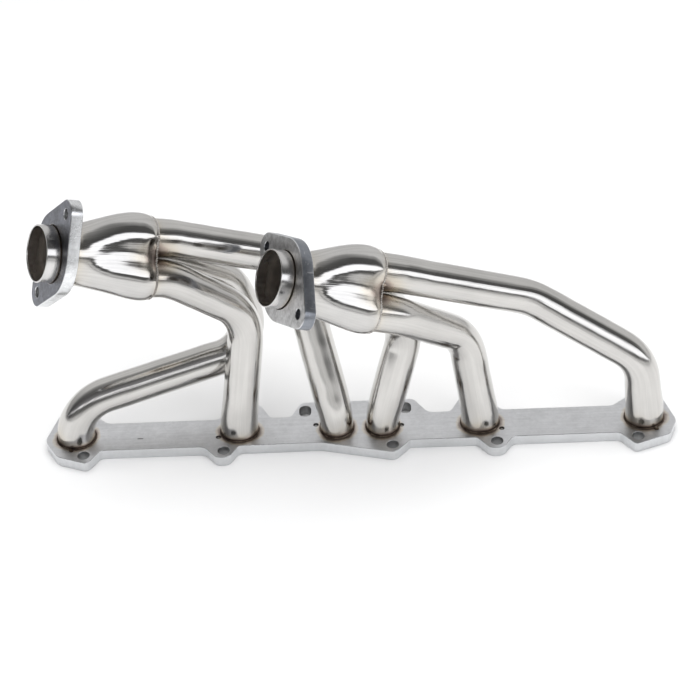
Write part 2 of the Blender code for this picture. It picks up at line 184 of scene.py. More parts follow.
def signed_volume(mesh):
    """Six times the enclosed volume: negative where the faces point inwards."""
    mesh.calc_loop_triangles()
    corners = np.zeros(len(mesh.loop_triangles) * 3, np.int32)
    mesh.loop_triangles.foreach_get("vertices", corners)
    places = np.zeros(len(mesh.vertices) * 3)
    mesh.vertices.foreach_get("co", places)
    a, b, c = (places.reshape(-1, 3)[corners.reshape(-1, 3)[:, k]] for k in range(3))
    return float(np.einsum("ij,ij->i", a, np.cross(b, c)).sum())


def ring_faces(rows, sides, closed=True, first=0):
    """Quads between loops that follow each other; closed joins the last loop to the first."""
    faces = []
    for row in range(rows if closed else rows - 1):
        here = first + row * sides
        there = first + ((row + 1) % rows) * sides
        for side in range(sides):
            after = (side + 1) % sides
            faces.append((here + side, here + after, there + after, there + side))
    return faces


def ring_object(name, loops, material, attributes, sharp=40):
    """A body with one hole through it, from loops that follow each other all the way round.

    Attributes are given for each point, or once for each loop."""
    rows, sides, _ = loops.shape
    flat = {}
    for key, values in attributes.items():
        full = np.broadcast_to(values, (rows, sides, *values.shape[2:]))
        flat[key] = full.reshape(rows * sides, *values.shape[2:])
    return build_object(name, loops.reshape(-1, 3), ring_faces(rows, sides), material, flat, sharp)


def use(piece, slot, *nodes):
    """Tie a finished piece to the welded body and hide the CAD nodes it stands for; slot is not used."""
    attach(piece, "root")
    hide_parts(*nodes)
    return piece


def smooth_step(value):
    """0 below 0, 1 above 1, and a smooth rise between."""
    value = np.clip(value, 0.0, 1.0)
    return value * value * (3 - 2 * value)


def round_angles(count):
    """Angles evenly round a full turn."""
    return np.linspace(0, 2 * math.pi, count, endpoint=False)


def wrapped(length, radius, turn):
    """Grain places on a tube: how far along it, and the place on a circle round it."""
    parts = np.broadcast_arrays(length, radius * np.cos(turn)[None], radius * np.sin(turn)[None])
    return np.stack(parts, axis=-1)


def wave_noise(position, seed, waves=5, base=1.0):
    """A smooth repeatable wobble between about -1 and 1 along a line or round a ring."""
    rng = random.Random(seed)
    total = np.zeros_like(np.asarray(position, float))
    for wave in range(1, waves + 1):
        total = total + math.sqrt(1 / wave) * np.sin(position * base * wave + rng.uniform(0, 2 * math.pi))
    return total / math.sqrt(waves)


# ---- outlines of plates

def rounded_outline(corners, step):
    """A closed flat outline whose corners are arcs of their own radii."""
    points = []
    for index, (x, y, radius) in enumerate(corners):
        here = Vector((x, y))
        inward = (here - Vector(corners[index - 1][:2])).normalized()
        outward = (Vector(corners[(index + 1) % len(corners)][:2]) - here).normalized()
        turn = inward.angle_signed(outward)
        start = here - inward * radius * math.tan(abs(turn) / 2)
        centre = start + Vector((inward.y, -inward.x)) * math.copysign(radius, turn)
        spoke = start - centre
        pieces = max(2, round(abs(turn) / step))
        for piece in range(pieces + 1):
            angle = -turn * piece / pieces
            points.append((
                centre.x + spoke.x * math.cos(angle) - spoke.y * math.sin(angle),
                centre.y + spoke.x * math.sin(angle) + spoke.y * math.cos(angle),
            ))
    return points


def oval_outline(x, y, half_width, half_depth, sides, stretch=0.0):
    """A closed ellipse, drawn out along Y into a slot where stretch is given."""
    points = []
    for side in range(sides):
        angle = 2 * math.pi * (side + 0.5) / sides
        rise = math.copysign(stretch / 2, math.sin(angle))
        points.append((x + half_width * math.cos(angle), y + half_depth * math.sin(angle) + rise))
    return points


def waisted_outline(middle_radius, end_radius, offset, steps):
    """A two-bolt flange: a middle circle and two end circles joined by tangent lines."""
    lean = math.acos((middle_radius - end_radius) / offset)
    arcs = [
        (offset, end_radius, -lean, lean), (0.0, middle_radius, lean, math.pi - lean),
        (-offset, end_radius, math.pi - lean, math.pi + lean),
        (0.0, middle_radius, math.pi + lean, 2 * math.pi - lean),
    ]
    points = []
    for centre, radius, first, last in arcs:
        for step in range(steps + 1):
            angle = first + (last - first) * step / steps
            points.append((centre + radius * math.cos(angle), radius * math.sin(angle)))
    return points


def shifted(outline, distance):
    """The outline moved to the left of its own direction of travel."""
    here = np.array(outline)
    back = here - np.roll(here, 1, axis=0)
    ahead = np.roll(here, -1, axis=0) - here
    back /= np.linalg.norm(back, axis=1)[:, None]
    ahead /= np.linalg.norm(ahead, axis=1)[:, None]
    normal = np.stack([-(back + ahead)[:, 1], (back + ahead)[:, 0]], axis=1)
    normal /= np.linalg.norm(normal, axis=1)[:, None]
    square = np.stack([-back[:, 1], back[:, 0]], axis=1)
    mitre = 1 / np.maximum(0.6, np.abs(np.einsum("ij,ij->i", normal, square)))
    return here + normal * (distance * mitre)[:, None]


def plate_object(name, outline, holes, pits, thickness, edge, place, material):
    """A plate with rounded edges, through holes and shallow plugged pits in its top face.

    Outline and holes have the plate's metal on their left. place is the matrix from the plate's
    own axes, where its underside is at height 0, to the world."""
    steps = 3
    points, faces, edges, walls = [], [], [], []
    # Negative edge values are painted shade: hole_shade darkens the straight walls of the holes, and the pits
    # are painted darker still. Positive values mark worn edges.
    hole_shade = -0.42

    def add_loop(loop, height, wear_and_shade_value, wall_value):
        first = len(points)
        points.extend((x, y, height) for x, y in loop)
        edges.extend([wear_and_shade_value] * len(loop))
        walls.extend([wall_value] * len(loop))
        return first

    def join(rows, count):
        for first, second in zip(rows, rows[1:]):
            for side in range(count):
                after = (side + 1) % count
                faces.append((first + side, first + after, second + after, second + side))

    on_top, on_bottom = [], []
    for index, loop in enumerate([outline] + holes):
        count = len(loop)
        bevel = edge if index == 0 else edge * 0.7
        profile = []
        for step in range(steps + 1):
            angle = math.pi / 2 * step / steps
            worn, wall = float(step in (1, 2)), float(step < 2)
            if index and wall and not worn:
                worn = hole_shade
            profile.append((bevel * (1 - math.cos(angle)), bevel * (1 - math.sin(angle)), worn, wall))
        rows = []
        for inset, drop, worn, wall in reversed(profile):
            rows.append(add_loop(shifted(loop, inset), drop, worn, wall))
        for inset, drop, worn, wall in profile:
            rows.append(add_loop(shifted(loop, inset), thickness - drop, worn, wall))
        join(rows, count)
        on_bottom.append((rows[0], count))
        on_top.append((rows[-1], count))
    for loop, depth in pits:
        count = len(loop)
        # Painted shade in the pits, darkest at their bottoms.
        rows = [
            add_loop(shifted(loop, -0.0014), thickness - depth * 0.7, -0.6, 0.0),
            add_loop(shifted(loop, -0.0003), thickness - depth, -1.0, 0.0),
            add_loop(loop, thickness - 0.0003, -0.8, 0.0),
            add_loop(shifted(loop, 0.0004), thickness, 0.0, 0.0),
        ]
        join(rows, count)
        faces.append(tuple(rows[0] + side for side in reversed(range(count))))
        on_top.append((rows[-1], count))
    cap_edges = set()
    for loops, facing in ((on_bottom, -1), (on_top, 1)):
        order = [first + side for first, count in loops for side in range(count)]
        contours = [[Vector(points[first + side]) for side in range(count)] for first, count in loops]
        for triangle in tessellate_polygon(contours):
            a, b, c = (order[corner] for corner in triangle)
            area = (Vector(points[b]) - Vector(points[a])).cross(Vector(points[c]) - Vector(points[a])).z
            faces.append((a, b, c) if area * facing > 0 else (a, c, b))
        for first, count in loops:
            cap_edges.update(frozenset((first + s, first + (s + 1) % count)) for s in range(count))
    local = np.array(points)
    world = local @ np.array(place.to_3x3()).T + np.array(place.translation)
    item = build_object(name, world, faces, material, {"edge": edges, "wall": walls, "flow": local})
    for edge_item in item.data.edges:
        if frozenset(edge_item.vertices) in cap_edges:
            edge_item.use_edge_sharp = True
    return item


# ---- node helpers

def put(tree, kind, inputs=None, **settings):
    """A new node with its settings, and its inputs linked or given a value."""
    node = tree.nodes.new(kind)
    for key, value in settings.items():
        setattr(node, key, value)
    for key, value in (inputs or {}).items():
        if isinstance(value, bpy.types.NodeSocket):
            tree.links.new(value, node.inputs[key])
        else:
            node.inputs[key].default_value = value
    return node


def maths(tree, operation, *values):
    """The result of one Math node."""
    return put(tree, "ShaderNodeMath", dict(enumerate(values)), operation=operation).outputs[0]


def chained(operation):
    """A function that joins its values, from left to right, by one Math operation."""
    def join(tree, *values):
        return reduce(lambda first, second: maths(tree, operation, first, second), values)
    return join


times, plus, minus = chained("MULTIPLY"), chained("ADD"), chained("SUBTRACT")


def scaled(tree, vector, factors):
    """A vector multiplied part by part."""
    return put(tree, "ShaderNodeVectorMath", {0: vector, 1: factors}, operation="MULTIPLY").outputs[0]


def spread(tree, value, low, high, start=0.0, end=1.0):
    """A value moved from one range to another and held inside it."""
    inputs = {"Value": value, "From Min": low, "From Max": high, "To Min": start, "To Max": end}
    return put(tree, "ShaderNodeMapRange", inputs).outputs[0]


def noise(tree, vector, scale, detail=3.0, roughness=0.55):
    """Fractal noise between 0 and 1."""
    inputs = {"Vector": vector, "Scale": scale, "Detail": detail, "Roughness": roughness}
    return put(tree, "ShaderNodeTexNoise", inputs).outputs[0]


def blended(tree, share, first, second, mode="MIX"):
    """Two colours mixed by a share; a colour is a node's output, or red, green and blue."""
    first, second = ((*part, 1.0) if isinstance(part, tuple) else part for part in (first, second))
    inputs = {0: share, 6: first, 7: second}
    return put(tree, "ShaderNodeMix", inputs, data_type="RGBA", blend_type=mode).outputs[2]


def shaded(tree, colour, shade):
    """A colour made darker or lighter by a value."""
    grey = put(tree, "ShaderNodeCombineColor", {0: shade, 1: shade, 2: shade}).outputs[0]
    return blended(tree, 1.0, colour, grey, "MULTIPLY")


def ramp(tree, value, stops):
    """A colour read from a list of (place, colour), where a single number is a grey."""
    node = put(tree, "ShaderNodeValToRGB", {"Fac": value})
    elements = node.color_ramp.elements
    while len(elements) < len(stops):
        elements.new(0.5)
    for element, (place, colour) in zip(elements, stops):
        element.position = place
        element.color = (*(colour if isinstance(colour, tuple) else [colour] * 3), 1.0)
    return node.outputs[0]


def attribute(tree, name, part="Fac"):
    """A value stored on the mesh."""
    return put(tree, "ShaderNodeAttribute", attribute_name=name).outputs[part]


def new_material(name):
    """An empty material with a metallic Principled shader."""
    material = bpy.data.materials.new(name)
    material.use_nodes = True
    tree = material.node_tree
    shader = tree.nodes["Principled BSDF"]
    shader.inputs["Metallic"].default_value = 1.0
    return material, tree, shader


def connect(tree, shader, colour, rough, height, depth):
    """Link a finished colour, roughness and bump height to the shader."""
    bump = put(tree, "ShaderNodeBump", {"Height": height, "Strength": 1.0, "Distance": depth})
    for key, output in (("Base Color", colour), ("Roughness", rough), ("Normal", bump.outputs[0])):
        tree.links.new(output, shader.inputs[key])


# Colours that steel takes on from no heat (0) to the edge of a weld (1)
HEAT_TINTS = [
    (0.00, (1.00, 1.00, 1.00)), (0.16, (1.00, 0.95, 0.86)), (0.32, (0.92, 0.85, 0.76)),
    (0.46, (0.68, 0.59, 0.52)), (0.62, (0.43, 0.365, 0.33)), (0.80, (0.20, 0.155, 0.14)),
    (1.00, (0.075, 0.055, 0.045)),
]
SOOT = (0.30, 0.25, 0.215)


def steel_finish(name, colour, roughness, grain, grain_depth, patch_scale, bore=SOOT, bore_roughness=0.35):
    """Polished or turned stainless steel: grain along the stored flow, fine lines, smudges and heat tint.

    grain is the noise scale along and across the grain, bore is the colour of the inside, and
    bore_roughness is what the inside adds to the roughness."""
    material, tree, shader = new_material(name)
    flow = attribute(tree, "flow", "Vector")
    place = put(tree, "ShaderNodeTexCoord").outputs["Object"]
    along, across = grain
    streaks = noise(tree, scaled(tree, flow, (along, across, across)), 1.0, 4.0, 0.6)
    hairs = noise(tree, scaled(tree, flow, (along * 0.6, across * 3.5, across * 3.5)), 1.0, 2.0, 0.5)
    patches = noise(tree, place, patch_scale, 4.0, 0.6)
    smudges = noise(tree, place, patch_scale * 3.1, 3.0, 0.65)
    wander = times(tree, minus(tree, smudges, 0.5), 0.9)
    tint = times(tree, attribute(tree, "tint"), plus(tree, wander, 1.0))
    shade = times(tree, spread(tree, streaks, 0.25, 0.75, 0.87, 1.05),
                  spread(tree, hairs, 0.3, 0.7, 0.95, 1.03), spread(tree, patches, 0.3, 0.7, 0.91, 1.04))
    body = blended(tree, 1.0, shaded(tree, colour, shade), ramp(tree, tint, HEAT_TINTS), "MULTIPLY")
    inside = attribute(tree, "inside")
    body = blended(tree, times(tree, inside, spread(tree, smudges, 0.3, 0.7, 0.75, 1.0)), body, bore)
    rough = plus(tree, spread(tree, patches, 0.35, 0.75, roughness * 0.8, roughness * 1.35),
                 spread(tree, streaks, 0.5, 0.8, 0.0, roughness * 0.45),
                 times(tree, tint, 0.36), times(tree, inside, bore_roughness))
    connect(tree, shader, body, rough, plus(tree, streaks, times(tree, hairs, 0.35)), grain_depth)
    return material


def bead_finish(name, colours, roughness):
    """Weld metal: scaled dark and brown patches over steel, with painted highlights on the ripples' crests
    and the lumps' tops and painted shade between them. The roughness follows the patches.
    """
    material, tree, shader = new_material(name)
    place = put(tree, "ShaderNodeTexCoord").outputs["Object"]
    patches = noise(tree, place, 130.0, 4.0, 0.6)
    grains = noise(tree, place, 1400.0, 2.0, 0.6)
    # Painted highlight and shade: crest lightens the ripples' crests and the lumps' tops, and the ramp
    # darkens what lies between them.
    value = plus(tree, times(tree, patches, 0.75), times(tree, attribute(tree, "crest"), 0.30))
    stops = [(0.30 + 0.45 * index / (len(colours) - 1), colour) for index, colour in enumerate(colours)]
    rough = spread(tree, patches, 0.3, 0.7, roughness * 0.75, roughness * 1.3)
    connect(tree, shader, ramp(tree, value, stops), rough, grains, 0.00006)
    return material


def port_distance(tree, place):
    """Distance from the nearest tube's outline on the head flange, in metres."""
    mirrored = put(tree, "ShaderNodeVectorMath", {0: place}, operation="ABSOLUTE").outputs[0]
    nearest = None
    for number in (4, 5, 6):
        centre = PORTS[number]
        half_width, half_depth = PORT_OVALS[number]
        size = (half_width + half_depth) / 2
        moved = put(tree, "ShaderNodeVectorMath", {0: mirrored, 1: (centre.x, 0, 0)}, operation="SUBTRACT")
        ratio = (size / half_width, size / half_depth, 0)
        squared = scaled(tree, moved.outputs[0], ratio)
        length = put(tree, "ShaderNodeVectorMath", {0: squared}, operation="LENGTH").outputs["Value"]
        distance = minus(tree, length, size)
        nearest = distance if nearest is None else maths(tree, "MINIMUM", nearest, distance)
    return nearest


def flange_finish(name, face, side, roughness, grain, scratches, mottle, halo=False):
    """Ground steel plate: grain along the face, milled sides, bright worn edges, pits and scratches.

    mottle is how blotchy the face is; halo adds heat tint round the tubes."""
    material, tree, shader = new_material(name)
    flow = attribute(tree, "flow", "Vector")
    edge, wall = attribute(tree, "edge"), attribute(tree, "wall")
    flat = minus(tree, 1.0, wall)

    def grained(vector, factors, detail, rough):
        return noise(tree, scaled(tree, vector, factors), 1.0, detail, rough)

    streaks = grained(flow, (grain, grain * 34, grain * 3), 5.0, 0.62)
    bands = grained(flow, (34.0, 9.0, 9.0), 3.0, 0.5)
    marks = grained(flow, (900.0, 900.0, 26.0), 3.0, 0.6)
    lines = grained(flow, (30.0, 620.0, 620.0), 2.0, 0.5)
    turned = {"Vector": flow, "Angle": math.radians(62)}
    crossing = put(tree, "ShaderNodeVectorRotate", turned, rotation_type="Z_AXIS").outputs[0]
    crosses = grained(crossing, (45.0, 800.0, 60.0), 2.0, 0.5)
    patches = noise(tree, flow, 42.0, 5.0, 0.62)
    blotches = noise(tree, flow, 210.0, 4.0, 0.7)
    cells = put(tree, "ShaderNodeTexVoronoi", {"Vector": flow, "Scale": 230.0, "Randomness": 1.0})
    pits = times(tree, spread(tree, cells.outputs["Distance"], 0.05, 0.11, 1.0, 0.0),
                 spread(tree, noise(tree, flow, 27.0, 2.0, 0.5), 0.60, 0.66))
    scratched = maths(tree, "MAXIMUM", spread(tree, lines, 0.68, 0.74), spread(tree, crosses, 0.70, 0.75))
    scratched = times(tree, scratched, scratches)
    uneven = plus(tree, spread(tree, patches, 0.3, 0.7, -mottle, mottle),
                  spread(tree, blotches, 0.3, 0.7, -mottle * 0.9, mottle * 0.9))
    uneven = times(tree, uneven, minus(tree, 1.0, times(tree, wall, 0.6)))
    shade = times(tree, spread(tree, streaks, 0.25, 0.75, 0.92, 1.06),
                  spread(tree, bands, 0.3, 0.7, 0.96, 1.03), plus(tree, uneven, 1.0),
                  spread(tree, pits, 0.0, 1.0, 1.0, 0.35))
    colour = shaded(tree, blended(tree, wall, face, side), shade)
    colour = blended(tree, times(tree, scratched, 0.45), colour, (0.82, 0.82, 0.83))
    worn = times(tree, maths(tree, "MAXIMUM", edge, 0.0), 0.75)
    colour = blended(tree, worn, colour, (0.84, 0.85, 0.86))
    if halo:
        distance = port_distance(tree, put(tree, "ShaderNodeTexCoord").outputs["Object"])
        distance = plus(tree, distance, times(tree, minus(tree, patches, 0.5), 0.010))
        heat = times(tree, spread(tree, distance, 0.0010, 0.0058, 0.62, 0.0), flat)
        colour = blended(tree, 1.0, colour, ramp(tree, heat, HEAT_TINTS), "MULTIPLY")
    # Painted shade: hole walls and pits are darkened towards near-black by their negative edge values.
    hollow = maths(tree, "MAXIMUM", times(tree, edge, -1.0), 0.0)
    colour = blended(tree, hollow, colour, (0.05, 0.045, 0.04))
    rough = plus(tree, spread(tree, patches, 0.3, 0.7, roughness * 0.88, roughness * 1.12),
                 times(tree, edge, -0.12))
    height = plus(tree, times(tree, marks, wall), times(tree, streaks, flat),
                  times(tree, blotches, mottle * 5))
    height = minus(tree, height, times(tree, pits, 2.0), times(tree, scratched, 0.6))
    connect(tree, shader, colour, rough, height, 0.00007)
    return material


# ---- tubes

def unit(vector):
    """The vectors along the last axis, each of length one."""
    vector = np.asarray(vector, float)
    return vector / np.linalg.norm(vector, axis=-1, keepdims=True)


def collector_frame(side):
    """Inlet centre, axis towards the mouth, valley direction and the direction across it."""
    spec = COLLECTORS[side]
    inlet, mouth, valley = (np.array(spec[key]) for key in ("inlet", "mouth", "valley"))
    axis = unit(mouth - inlet)
    valley = unit(valley - axis * valley.dot(axis))
    across = np.cross(axis, valley)
    return inlet, axis, valley, across * math.copysign(1, across[2])


def spokes(side, turn):
    """Unit directions square to a collector's axis, at these angles from its first valley."""
    _, _, valley, across = collector_frame(side)
    turn = np.asarray(turn)[..., None]
    return valley * np.cos(turn) + across * np.sin(turn)


def route(corners):
    """Fine stations along straight runs joined by arcs: places, directions and curvature vectors."""
    places, directions, curves = [], [], []

    def run(start, end):
        length = np.linalg.norm(end - start)
        direction = (end - start) / length
        for share in np.linspace(0, 1, max(2, round(length / STATION_STEP)), endpoint=False):
            places.append(start + (end - start) * share)
            directions.append(direction)
            curves.append(np.zeros(3))

    here = np.array(corners[0][0])
    for index in range(1, len(corners) - 1):
        point, radius = np.array(corners[index][0]), corners[index][1]
        inward = unit(point - corners[index - 1][0])
        outward = unit(np.array(corners[index + 1][0]) - point)
        turn = math.acos(float(np.clip(inward.dot(outward), -1, 1)))
        start = point - inward * radius * math.tan(turn / 2)
        run(here, start)
        side = unit(outward - inward * outward.dot(inward))
        for angle in np.linspace(0, turn, max(4, round(turn * radius / STATION_STEP)), endpoint=False):
            places.append(start + inward * radius * math.sin(angle) + side * radius * (1 - math.cos(angle)))
            directions.append(inward * math.cos(angle) + side * math.sin(angle))
            curves.append((side * math.cos(angle) - inward * math.sin(angle)) / radius)
        here = point + outward * radius * math.tan(turn / 2)
    run(here, np.array(corners[-1][0]))
    places.append(np.array(corners[-1][0]))
    directions.append(directions[-1])
    curves.append(np.zeros(3))
    return np.array(places), np.array(directions), np.array(curves)


def valley_heat(points, side):
    """How close points are to the hot middle of each valley between two tubes, 0 to 1."""
    inlet, axis, _, _ = collector_frame(side)
    heat = 0.0
    for lean in (0.0, THIRD, -THIRD):
        centre = inlet + spokes(side, lean) * HEAT_OFFSET - axis * HEAT_BEHIND
        away = points - centre
        lengthwise = away @ axis
        sideways = np.linalg.norm(away - lengthwise[..., None] * axis, axis=-1)
        heat = heat + np.exp(-(lengthwise / HEAT_LENGTHWISE) ** 2 - (sideways / HEAT_SIDEWAYS) ** 2)
    return heat


def make_tube(number, side, lobe_angle, material):
    """One primary tube: oval at its port, a little flattened in its bends, swaged at the collector."""
    port = PORTS[number]
    half_width, half_depth = PORT_OVALS[number]
    first_bend, *bends = ROUTES[number]
    inlet, axis, _, _ = collector_frame(side)
    lobe = inlet + spokes(side, math.radians(lobe_angle)) * LOBE_SPACING
    corners = [((port.x, port.y, TUBE_START_Z), 0.0), ((port.x, port.y, first_bend[0]), first_bend[1])]
    corners += [(bend[:3], bend[3]) for bend in bends]
    corners.append((lobe - axis * COLLECTORS[side]["entry"], ENTRY_RADIUS[number]))
    corners.append((lobe + axis * TUBE_INSERT, 0.0))
    places, directions, curves = route(corners)
    steps = np.linalg.norm(np.diff(places, axis=0), axis=1)
    walked = np.concatenate([[0.0], np.cumsum(steps)])
    total = walked[-1]
    near = np.exp(-((walked[:, None] - walked[None, :]) / BEND_BLEND) ** 2)
    curves = near @ curves / near.sum(1, keepdims=True)
    bend = np.linalg.norm(curves, axis=1)
    towards = curves / np.maximum(bend, 1e-9)[:, None]
    flat = np.clip(bend * FLATTEN_RADIUS, 0, 1.1) * BEND_FLATTEN
    base = walked - (FLANGE_THICKNESS - TUBE_START_Z)
    entry = total - TUBE_INSERT - walked
    oval = 1 - smooth_step(np.maximum(base, 0) / ROUND_FROM)
    body = TUBE_RADIUS + (SWAGE_RADIUS - TUBE_RADIUS) * (1 - smooth_step(entry / SWAGE_LENGTH))
    width = body + (half_width - body) * oval
    depth = body + (half_depth - body) * oval
    sides = np.zeros_like(places)
    side_way = np.array((1.0, 0.0, 0.0))
    for index, direction in enumerate(directions):
        side_way = unit(side_way - direction * side_way.dot(direction))
        sides[index] = side_way
    forwards = np.cross(directions, sides)
    turn = round_angles(TUBE_SIDES)
    wobble = sum(math.sqrt(1 / wave) * np.sin(
        walked[:, None] * (70 + 41 * wave) + number * 1.7 * wave + turn[None, :] * (wave % 3) + wave)
        for wave in range(1, 6)) * TUBE_WOBBLE

    def shell(offset):
        cosine, sine = np.cos(turn)[None, :, None], np.sin(turn)[None, :, None]
        out = sides[:, None] * (width + offset)[:, None, None] * cosine
        out = out + forwards[:, None] * (depth + offset)[:, None, None] * sine
        inward = np.einsum("ijk,ik->ij", out, towards)[:, :, None] * towards[:, None]
        out = out - inward * flat[:, None, None] + (out - inward) * (flat * 0.25)[:, None, None]
        out = out * (1 + wobble / TUBE_RADIUS)[:, :, None]
        return places[:, None] + out

    outside, inside = shell(0.0), shell(-TUBE_WALL)[::-1]
    lip = TUBE_WALL * 0.3
    outside[0] += directions[0] * lip
    outside[-1] -= directions[-1] * lip
    lips = shell(-lip)
    loops = np.concatenate([lips[:1], outside, lips[-1:], inside])

    def each_loop(values):
        return np.concatenate([values[:1], values, values[-1:], values[::-1]])[:, None]

    base, entry = each_loop(base), each_loop(entry)
    uneven = 0.75 + 0.25 * np.sin(turn * 2 + number)[None, :] + 0.12 * np.sin(turn * 5 + number * 2)[None, :]
    tint = 0.90 * np.exp(-np.maximum(base - 0.0015, 0) / (BASE_TINT * uneven))
    tint = tint + 0.16 * np.exp(-np.maximum(entry - 0.002, 0) / (ENTRY_TINT * uneven))
    tint = tint + 0.92 * valley_heat(loops, side)
    hidden = np.arange(len(loops))[:, None] > len(outside) + 1
    return ring_object(f"primary_tube_{number}_polished", loops, material, {
        "flow": wrapped(each_loop(walked), TUBE_RADIUS, turn), "tint": np.clip(tint, 0, 1), "inside": hidden,
    })


# ---- beads

def bead_rows(loop_at, start, end, root, bulge, pitch, ripple, seed, stations, swell=0.0):
    """Loops of a rippled weld bead, and how high each point stands on it.

    loop_at(out, height) gives the loop at those offsets; start, end and root are (out, height);
    swell makes the bead larger and lumpier in three places."""
    angles = round_angles(stations)
    middle = loop_at(np.full(stations, (start[0] + end[0]) / 2), np.full(stations, (start[1] + end[1]) / 2))
    steps = np.linalg.norm(np.roll(middle, -1, axis=0) - middle, axis=1)
    walked = np.concatenate([[0.0], np.cumsum(steps)[:-1]])
    count = max(8, round(steps.sum() / pitch))
    phase = walked / steps.sum() * count * math.pi + 0.35 * wave_noise(angles, seed, 4, 3.0)
    valley = np.exp(-(lobe_lean(angles + THIRD / 2) / math.radians(13)) ** 2)
    size = 1 + 0.16 * wave_noise(angles, seed + 1, 6, 2.0)
    size = size + swell * valley * (1 + 0.45 * wave_noise(angles * 7, seed + 2, 5))
    chord = np.array(end) - np.array(start)
    normal = np.array((-chord[1], chord[0])) / np.linalg.norm(chord)
    if normal.dot(np.array(root) - np.array(start)) > 0:
        normal = -normal
    loops, crests = [], []
    for share in np.linspace(0, 1, BEAD_ROWS):
        hump = 4 * share * (1 - share)
        scale = np.abs(np.cos(phase + 0.9 * (2 * share - 1) ** 2)) ** 0.8
        push = hump ** 0.7 * (bulge * size + ripple * (scale - 0.55))
        out = start[0] + chord[0] * share + normal[0] * push
        height = start[1] + chord[1] * share + normal[1] * push
        loops.append(loop_at(out, height))
        crests.append(scale * hump)
    loops.append(loop_at(np.full(stations, root[0]), np.full(stations, root[1])))
    crests.append(np.zeros(stations))
    return np.array(loops), np.array(crests)


def oval_loop(number):
    """Loops round a port, by how far out and how high above the flange they are."""
    port = PORTS[number]
    half_width, half_depth = PORT_OVALS[number]

    def loop_at(out, height):
        turn = round_angles(len(out))
        x = port.x + (half_width + out) * np.cos(turn)
        y = port.y + (half_depth + out) * np.sin(turn)
        return np.stack([x, y, FLANGE_THICKNESS + height], axis=1)
    return loop_at


def lobe_lean(angle):
    """Angle from the middle of the nearest lobe; a valley is at 0 and at each third of a turn."""
    return angle % THIRD - THIRD / 2


def circle_reach(lean, spacing, radius, side=1):
    """Distance from the axis to the far (1) or near (-1) side of a circle, seen at this lean from it."""
    rest = radius * radius - (spacing * np.sin(lean)) ** 2
    return spacing * np.cos(lean) + side * np.sqrt(np.maximum(rest, 0))


def lobed_radius(angle, spacing, radius, fillet):
    """Distance from the axis to the outside of three merged circles with filleted valleys."""
    lean = lobe_lean(angle)
    near = circle_reach(lean, spacing, radius)
    far = circle_reach(THIRD - np.abs(lean), spacing, radius)
    meet = np.maximum(fillet - (near - far), 0) / np.maximum(fillet, 1e-9)
    return near + meet ** 2 * fillet / 4


def lobed_loop(side):
    """Loops round the three tubes, by their circles' radius and how far towards the tubes they are."""
    inlet, axis, _, _ = collector_frame(side)

    def loop_at(radius, height):
        turn = round_angles(len(radius))
        reach = lobed_radius(turn, LOBE_SPACING, radius, VALLEY_BRIDGE)
        return inlet + spokes(side, turn) * reach[:, None] - axis * height[:, None]
    return loop_at


def round_loop(side, back):
    """Loops round the outlet's axis, by their radius and how far behind the flange they are."""
    axis = collector_frame(side)[1]
    mouth = np.array(COLLECTORS[side]["mouth"])

    def loop_at(radius, height):
        spoke = spokes(side, round_angles(len(radius)))
        return mouth + spoke * radius[:, None] - axis * (back + height)[:, None]
    return loop_at


def bead_object(name, parts, material):
    """One or more closed bead rings in a single piece."""
    points, faces, crests, first = [], [], [], 0
    for loops, crest in parts:
        rows, stations, _ = loops.shape
        faces += ring_faces(rows, stations, first=first)
        points.append(loops.reshape(-1, 3))
        crests.append(crest.reshape(-1))
        first += rows * stations
    # crest steers the painted highlights and shade of the bead finishes.
    return build_object(name, np.concatenate(points), faces, material, {"crest": np.concatenate(crests)}, 180)


def make_port_weld(number, material):
    """The bead round a tube on the head flange, and the smaller bead inside the port below it."""
    loop_at = oval_loop(number)
    outer = bead_rows(loop_at, (-0.0001, 0.0014), (0.0013, -0.0001), (-0.0005, -0.0004), 0.00028,
                      0.0017, 0.00024, number, 560)
    below = TUBE_START_Z - FLANGE_THICKNESS
    inner = bead_rows(loop_at, (-TUBE_WALL - 0.0004, below + 0.0002), (0.0003, below - 0.0021),
                      (0.0004, below + 0.0004), 0.0003, 0.0024, 0.00030, number + 20, 320)
    parts = [outer, inner]
    if number in TACKS:
        x, y = TACKS[number]
        parts.append(drop_rows((x, y, FLANGE_THICKNESS), 0.0026, 0.0017, number))
    return bead_object(f"port_weld_{number}_rippled", parts, material)


def drop_rows(centre, radius, rise, seed):
    """A small domed weld drop standing on a plate: loops from its foot to its top and back inside."""
    turn = round_angles(40)
    uneven = 1 + 0.10 * wave_noise(turn, seed + 60, 4)
    loops, crests = [], []
    for angle in np.linspace(0, math.pi / 2 * 0.96, 9):
        reach = radius * math.cos(angle) * uneven
        height = np.full_like(turn, rise * math.sin(angle))
        loops.append(np.stack([reach * np.cos(turn), reach * np.sin(turn), height], axis=1) + centre)
        crests.append(np.full_like(turn, math.sin(angle)))
    reach = radius * 0.04
    inner = [reach * np.cos(turn), reach * np.sin(turn), np.full_like(turn, -0.0003)]
    loops.append(np.stack(inner, axis=1) + centre)
    crests.append(np.zeros_like(turn))
    return np.array(loops), np.array(crests)


# ---- plates

